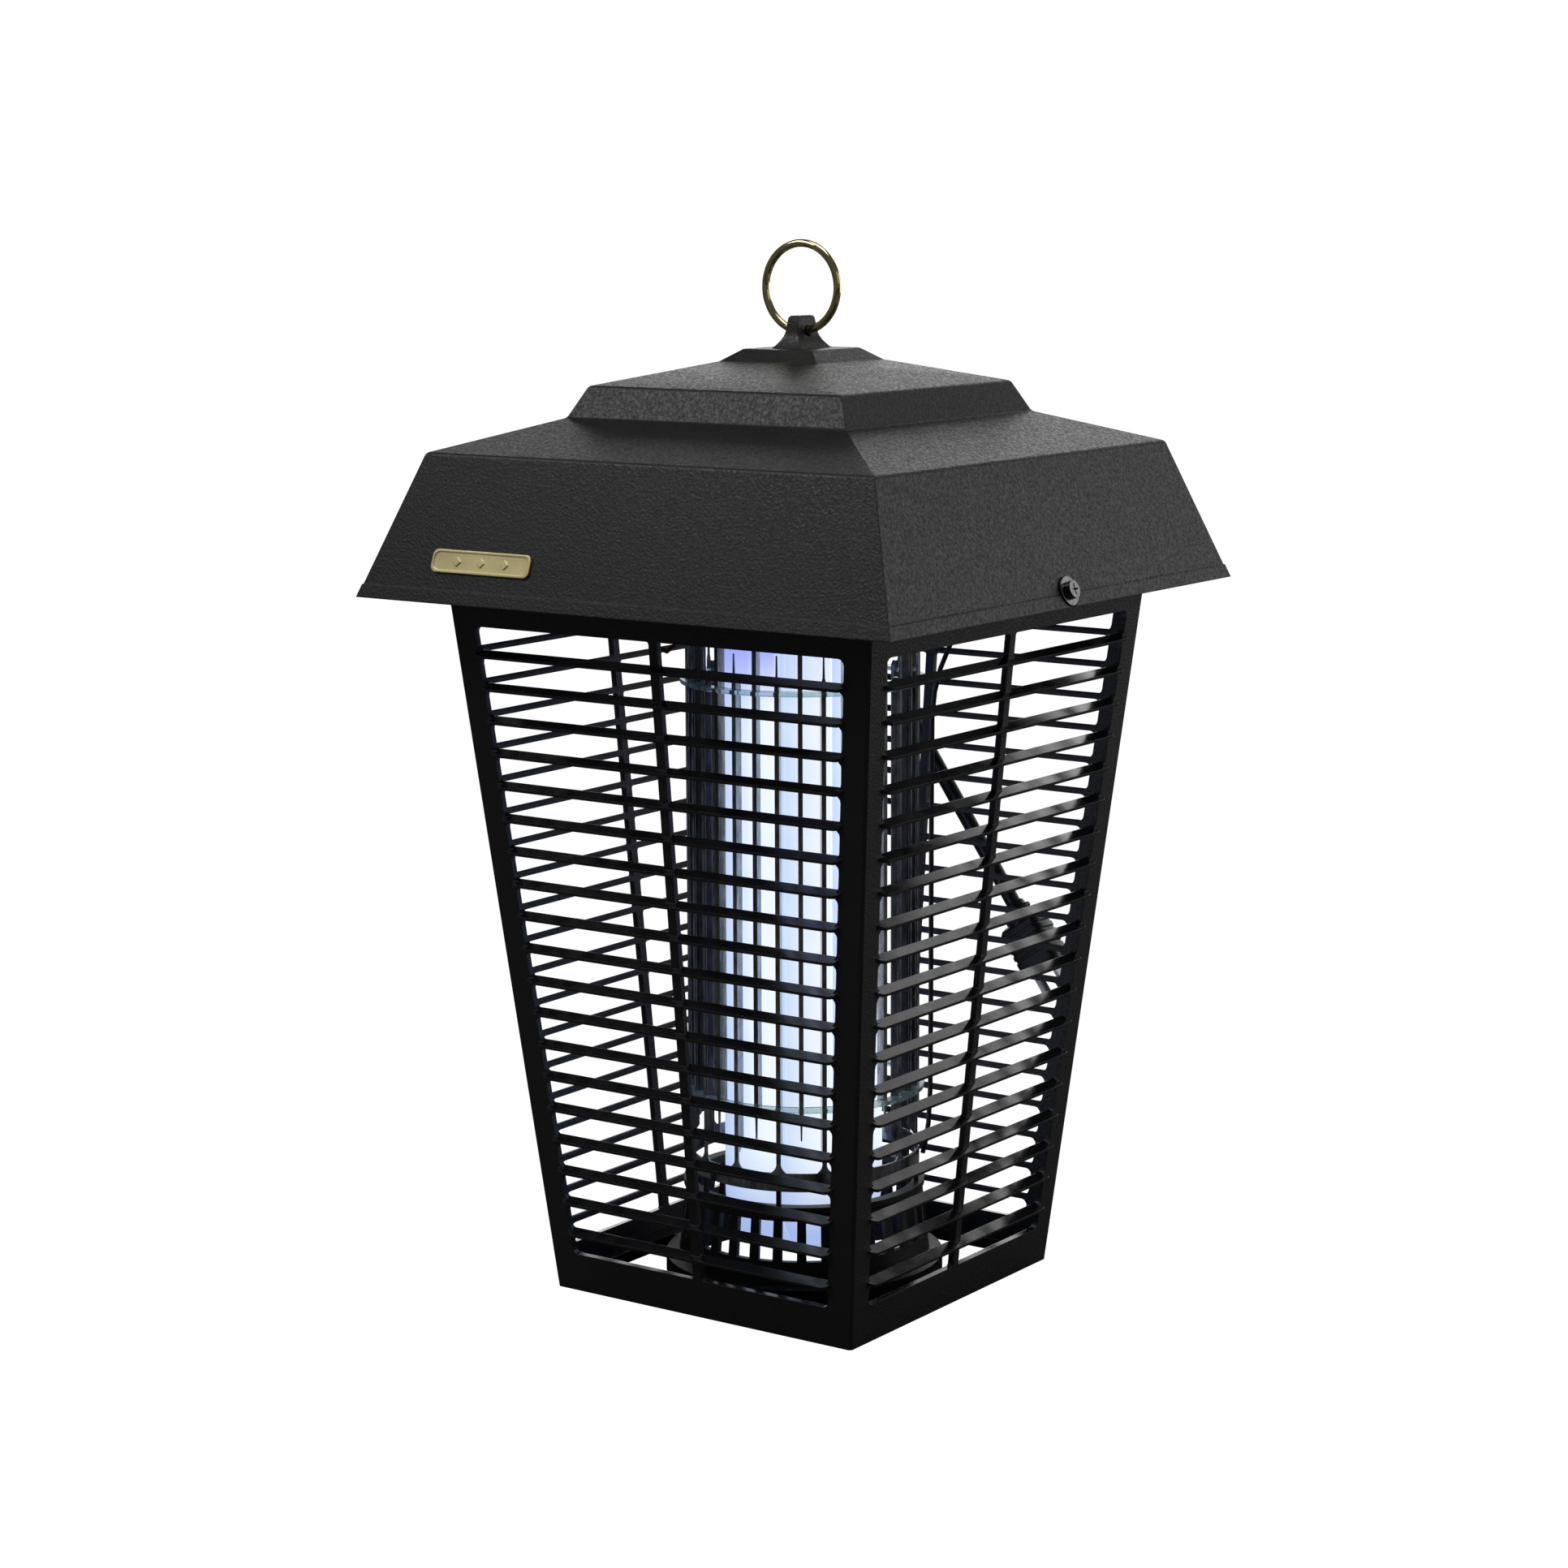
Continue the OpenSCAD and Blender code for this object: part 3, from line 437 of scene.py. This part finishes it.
metalFinishes = {
    # spots is how much tarnish shows, metal is 1 for bare metal and less for gold paint
    "brass_ring": {
        "dark": (0.8, 0.7, 0.36), "light": (0.93, 0.86, 0.52), "tarnish": (0.5, 0.4, 0.18), "spots": 0.25,
        "rough": (0.07, 0.12), "metal": 1, "brush": (1, 1, 1), "scratch": 160,
        "depth": 0.000003, "rounding": 0,
    },
    "gold_badge": {
        "dark": (0.78, 0.66, 0.3), "light": (0.93, 0.84, 0.48), "tarnish": (0.5, 0.4, 0.16), "spots": 0.2,
        "rough": (0.3, 0.42), "metal": 0.6, "brush": (1, 8, 8), "scratch": 500,
        "depth": 0.00001, "rounding": 0.0003,
    },
    "dark_steel": {
        "dark": (0.1, 0.1, 0.105), "light": (0.26, 0.26, 0.27), "tarnish": (0.06, 0.03, 0.02), "spots": 0.6,
        "rough": (0.16, 0.3), "metal": 1, "brush": (1, 1, 1), "scratch": 900,
        "depth": 0.00003, "rounding": 0.0003,
    },
    "zinc_steel": {
        "dark": (0.36, 0.37, 0.38), "light": (0.6, 0.61, 0.62), "tarnish": (0.3, 0.28, 0.25), "spots": 0.6,
        "rough": (0.24, 0.42), "metal": 1, "brush": (1, 6, 1), "scratch": 260,
        "depth": 0.00003, "rounding": 0.0003,
    },
    "galvanised_sheet": {
        "dark": (0.16, 0.165, 0.18), "light": (0.46, 0.47, 0.5), "tarnish": (0.1, 0.1, 0.1), "spots": 0.6,
        "rough": (0.12, 0.26), "metal": 1, "brush": (1, 1, 0.25), "scratch": 380,
        "depth": 0.00002, "rounding": 0.0002,
    },
    "lamp_metal": {
        "dark": (0.5, 0.5, 0.51), "light": (0.74, 0.74, 0.75), "tarnish": (0.35, 0.34, 0.33), "spots": 0.6,
        "rough": (0.22, 0.36), "metal": 1, "brush": (6, 6, 1), "scratch": 340,
        "depth": 0.00002, "rounding": 0.0003,
    },
    "contact_brass": {
        "dark": (0.55, 0.4, 0.16), "light": (0.84, 0.66, 0.32), "tarnish": (0.3, 0.2, 0.09), "spots": 0.6,
        "rough": (0.16, 0.3), "metal": 1, "brush": (1, 6, 1), "scratch": 500,
        "depth": 0.00002, "rounding": 0.0002,
    },
}


def makePlastic(name, facts):
    material, tree, shader, place = newFinish(name)
    patches = addRange(tree, addNoise(tree, place, 34, 5), 0.3, 0.7, 0, 1)
    colour = addMix(tree, patches, facts["dark"], facts["light"])
    colour = addMix(tree, addWear(tree, place, facts["rounding"] * 1.3, 260), colour, facts["worn"])
    if name == "red_wire":      # the lead to the lower electrode, on the right, is the black one
        right = addRange(tree, addSplit(tree, place)["X"], -0.001, 0.001, 0, 1)
        colour = addMix(tree, right, colour, (0.01, 0.01, 0.011))
    tree.links.new(colour, shader.inputs["Base Color"])
    gloss = addRange(tree, addNoise(tree, place, 620, 5, 0.75), 0.36, 0.64, *facts["rough"])
    pebble = addCells(tree, place, facts["pebble"])
    grain = addNoise(tree, place, facts["grain"], 2)
    if facts["flat"]:
        # the slats are polished and a little wavy, the posts between them are grained
        slope = addMath(tree, "ABSOLUTE", addSplit(tree, objectNormal(tree))["Z"], 0)
        level = addRange(tree, slope, 0.55, 0.75, 0, 1)
        polished = addRange(tree, addNoise(tree, place, 70, 3), 0.3, 0.7, *facts["flat"])
        blend = tree.nodes.new("ShaderNodeMix")
        for socket, value in (("Factor", level), ("A", gloss), ("B", polished)):
            tree.links.new(value, blend.inputs[socket])
        gloss = blend.outputs["Result"]
        upright = addMath(tree, "SUBTRACT", 1, level)
        pebble = addMath(tree, "MULTIPLY", pebble, upright)
        grain = addMath(tree, "MULTIPLY", grain, addRange(tree, upright, 0, 1, 0.12, 1))
    tree.links.new(gloss, shader.inputs["Roughness"])
    addBumps(tree, shader, [(pebble, 0.8, facts["pebbleDepth"]), (grain, 0.5, facts["pebbleDepth"] / 2)],
             facts["rounding"])
    return material


def makeMetal(name, facts):
    material, tree, shader, place = newFinish(name)
    scratch = addNoise(tree, place, facts["scratch"], 5, 0.65, facts["brush"])
    patches = addRange(tree, addNoise(tree, place, 60, 5), 0.3, 0.7, 0, 1)
    colour = addMix(tree, addRange(tree, scratch, 0.3, 0.7, 0, 1), facts["dark"], facts["light"])
    spots = addRange(tree, addNoise(tree, place, 210, 5), 0.58, 0.72, 0, facts["spots"])
    spots = addMath(tree, "MULTIPLY", spots, patches)
    colour = addMix(tree, spots, colour, facts["tarnish"])
    if name == "contact_brass":      # the plug's blades are nickel plated
        behind = addRange(tree, addSplit(tree, place)["Y"], 0.11, 0.112, 0, 1)
        colour = addMix(tree, behind, colour, (0.36, 0.36, 0.37))
    tree.links.new(colour, shader.inputs["Base Color"])
    shader.inputs["Metallic"].default_value = facts["metal"]
    tree.links.new(addRange(tree, patches, 0, 1, *facts["rough"]), shader.inputs["Roughness"])
    addBumps(tree, shader, [(scratch, 0.5, facts["depth"])], facts["rounding"])
    return material


def makeLampGlass():
    # coated glass, lit: pale blue, with painted shade and highlight by which way the surface faces (bluer
    # and dimmer on the tubes' left sides, whiter on their right sides), and violet at one lamp's top
    material, tree, shader, place = newFinish("lamp_glass")
    parts = addSplit(tree, place)
    facing = addSplit(tree, objectNormal(tree))
    clouds = addRange(tree, addNoise(tree, place, 42, 4), 0.35, 0.65, -0.12, 0.12)
    # painted shade and highlight: the glow is tinted by the object-space normal's X, bluer and dimmer
    # facing left and whiter facing right
    paintedSideShade = addMath(tree, "ADD", facing["X"], clouds)
    lit = addMix(tree, addRange(tree, paintedSideShade, -0.95, 0.1, 0, 1), (0.44, 0.56, 0.92), (0.66, 0.78, 0.96))
    lit = addMix(tree, addRange(tree, paintedSideShade, 0.1, 0.95, 0, 1), lit, (0.86, 0.92, 0.98))
    low = addRange(tree, parts["Z"], 0.066, 0.03, 0, 0.8)
    lit = addMix(tree, low, lit, (0.3, 0.42, 0.8))
    top = addRange(tree, parts["Z"], 0.284, 0.31, 0, 1)
    side = addRange(tree, parts["X"], -0.002, 0.002, 0.95, 0.2)
    lit = addMix(tree, addMath(tree, "MULTIPLY", top, side), lit, (0.36, 0.41, 0.94))
    tree.links.new(lit, shader.inputs["Emission Color"])
    shader.inputs["Emission Strength"].default_value = 1.0
    shader.inputs["Base Color"].default_value = (0.02, 0.03, 0.06, 1)
    tree.links.new(addRange(tree, clouds, -0.12, 0.12, 0.12, 0.22), shader.inputs["Roughness"])
    shader.inputs["Specular IOR Level"].default_value = 0.25
    addBumps(tree, shader, [(addNoise(tree, place, 30, 2), 0.2, 0.0002)])
    return material


def makeClearPlastic():
    material, tree, shader, place = newFinish("clear_plastic")
    clouds = addRange(tree, addNoise(tree, place, 70, 3), 0.3, 0.7, 0, 1)
    tree.links.new(addMix(tree, clouds, (0.6, 0.84, 0.78), (0.8, 0.95, 0.92)), shader.inputs["Base Color"])
    shader.inputs["Transmission Weight"].default_value = 0.85
    shader.inputs["IOR"].default_value = 1.49
    tree.links.new(addRange(tree, clouds, 0, 1, 0.08, 0.24), shader.inputs["Roughness"])
    addBumps(tree, shader, [(addNoise(tree, place, 700, 3), 0.3, 0.00003)], 0.0002)
    return material


def makeCoreIron():
    # varnished laminations, 0.5 mm thick, stacked along the depth
    material, tree, shader, place = newFinish("core_iron")
    bands = tree.nodes.new("ShaderNodeTexWave")
    bands.bands_direction = "Y"
    bands.inputs["Scale"].default_value = 300
    bands.inputs["Distortion"].default_value = 0.4
    tree.links.new(place, bands.inputs["Vector"])
    stripes = bands.outputs["Fac"]
    colour = addMix(tree, stripes, (0.03, 0.028, 0.027), (0.13, 0.125, 0.12))
    tree.links.new(colour, shader.inputs["Base Color"])
    shader.inputs["Metallic"].default_value = 0.75
    gloss = addRange(tree, addNoise(tree, place, 150, 4), 0.3, 0.7, 0.35, 0.6)
    tree.links.new(gloss, shader.inputs["Roughness"])
    addBumps(tree, shader, [(stripes, 0.5, 0.0001), (addNoise(tree, place, 500, 3), 0.3, 0.00006)], 0.0003)
    return material


def makeCoilCopper():
    material, tree, shader, place = newFinish("coil_copper")
    patches = addRange(tree, addNoise(tree, place, 120, 4), 0.3, 0.7, 0, 1)
    colour = addMix(tree, patches, (0.22, 0.06, 0.015), (0.46, 0.16, 0.05))
    tree.links.new(colour, shader.inputs["Base Color"])
    shader.inputs["Metallic"].default_value = 0.85
    shader.inputs["Coat Weight"].default_value = 0.4
    tree.links.new(addRange(tree, patches, 0, 1, 0.2, 0.34), shader.inputs["Roughness"])
    addBumps(tree, shader, [(addNoise(tree, place, 900, 3), 0.3, 0.00004)], 0.0003)
    return material


finishes = {name: makePlastic(name, facts) for name, facts in plasticFinishes.items()}
finishes.update({name: makeMetal(name, facts) for name, facts in metalFinishes.items()})
finishes.update({"lamp_glass": makeLampGlass(), "clear_plastic": makeClearPlastic(),
                 "core_iron": makeCoreIron(), "coil_copper": makeCoilCopper()})

for part in frame["record"]["subparts"]:
    node = nodes[part["node"]]
    node.data.materials.clear()
    node.data.materials.append(finishes[part["material_slot"]])
for piece in (mainsCord, strainRelief, mouldedPlug, winding):
    piece.data.materials.append(finishes[piece["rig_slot"]])
print("finishes made and given to every piece")


edgeSettings = {
    # node: (edge radius in mm, steps)
    "roof_shell": (0.7, 3),
    "badge": (0.15, 2),
    "top_frame": (0.5, 2),
    "base_frame": (0.4, 2),
    "screw_washers": (0.15, 2),
    "roof_screws": (0.2, 2),
}
bevelAngle = 25             # degrees between faces, past which an edge is rounded


def roundEdges(node, radius, steps):
    weld = node.modifiers.new("join", "WELD")
    weld.merge_threshold = mergeDistance
    bevel = node.modifiers.new("round", "BEVEL")
    bevel.width = radius * mm
    bevel.segments = steps
    bevel.limit_method = "ANGLE"
    bevel.angle_limit = math.radians(bevelAngle)
    bevel.use_clamp_overlap = True
    node.modifiers.new("shade", "WEIGHTED_NORMAL")


for name, (radius, steps) in edgeSettings.items():
    roundEdges(nodes[name], radius, steps)
print("edges rounded")


studio = {
    "surround": 0.07,       # how bright the room is in reflections
    "backdrop": 1.02,       # how bright the backdrop is to look at
    "floorSize": 6,
    "floorDrop": 0.0003,    # keeps the paper just under the lantern's feet
    "floorTone": 0.14,
    "lights": [
        # name, place, aim, width, height, power
        ("backWall", (-1.1, 2.1, 0.95), (0, 0, 0.95), 2.9, 1.84, 29),
        ("backRightWall", (1.7, 2.0, 0.8), (0, 0, 0.8), 2.0, 1.5, 11),
        ("frontLeftSoftbox", (-1.4, -1.55, 2.2), (0, 0, 0.4), 1.4, 1.1, 17),
        ("topSoftbox", (0.1, -0.2, 2.3), (0, 0, 0.4), 1.2, 1.2, 9),
        ("rightSoftbox", (2.3, -0.6, 1.2), (0, 0, 0.35), 0.6, 1.0, 1.3),
    ],
}


def addLight(name, place, width, height, power):
    light = bpy.data.lights.new(name, "AREA")
    light.shape = "RECTANGLE"
    light.size, light.size_y = width, height
    light.energy = power
    lamp = bpy.data.objects.new(name, light)
    lamp.location = place
    lamp.visible_camera = False
    scene.collection.objects.link(lamp)
    return lamp


def whiteOutside(tree, dull, target, socket):
    # the backdrop is plain white to look at, and dim in reflections
    path = tree.nodes.new("ShaderNodeLightPath")
    mix = tree.nodes.new("ShaderNodeMixShader")
    white = tree.nodes.new("ShaderNodeEmission")
    white.inputs["Color"].default_value = (1, 1, 1, 1)
    white.inputs["Strength"].default_value = studio["backdrop"]
    tree.links.new(path.outputs["Is Camera Ray"], mix.inputs["Fac"])
    tree.links.new(dull, mix.inputs[1])
    tree.links.new(white.outputs["Emission"], mix.inputs[2])
    tree.links.new(mix.outputs["Shader"], target.inputs[socket])


def addStudio(settings):
    world = bpy.data.worlds.new("studio")
    scene.world = world
    world.use_nodes = True
    tree = world.node_tree
    room = tree.nodes["Background"]
    room.inputs["Color"].default_value = (1, 1, 1, 1)
    room.inputs["Strength"].default_value = settings["surround"]
    whiteOutside(tree, room.outputs["Background"], tree.nodes["World Output"], "Surface")
    work = bmesh.new()
    bmesh.ops.create_grid(work, x_segments=1, y_segments=1, size=settings["floorSize"])
    bmesh.ops.translate(work, verts=work.verts, vec=(0, 0, -settings["floorDrop"]))
    mesh = bpy.data.meshes.new("floor")
    work.to_mesh(mesh)
    work.free()
    floor = bpy.data.objects.new("floor", mesh)
    scene.collection.objects.link(floor)
    paper = bpy.data.materials.new("floor_paper")
    paper.use_nodes = True
    tree = paper.node_tree
    shader = tree.nodes["Principled BSDF"]
    shader.inputs["Base Color"].default_value = (*[settings["floorTone"]] * 3, 1)
    shader.inputs["Roughness"].default_value = 0.9
    whiteOutside(tree, shader.outputs["BSDF"], tree.nodes["Material Output"], "Surface")
    mesh.materials.append(paper)
    for name, place, aim, width, height, power in settings["lights"]:
        lamp = addLight(name, place, width, height, power)
        lamp.rotation_euler = (Vector(aim) - Vector(place)).to_track_quat("-Z", "Y").to_euler()
    scene.view_settings.view_transform = "Standard"


lampGlow = {
    "distance": 43,         # from the middle of the grid, mm
    "height": (70, 310),
    "width": 6,
    "power": 0.042,
    "colour": (0.22, 0.27, 1.0),
}


def addLampGlow(settings):
    # the violet that the coating lets through, on the grid and the slats: four upright strips of light
    low, high = settings["height"]
    for turn in range(0, 360, 90):
        angle = math.radians(turn)
        outward = Vector((math.cos(angle), math.sin(angle), 0))
        place = outward * settings["distance"] * mm + Vector((0, 0, (low + high) / 2 * mm))
        lamp = addLight("glow", place, settings["width"] * mm, (high - low) * mm, settings["power"])
        lamp.data.color = settings["colour"]
        lamp.rotation_euler = (math.pi / 2, 0, angle + math.pi / 2)


addStudio(studio)
addLampGlow(lampGlow)
print("studio lit")
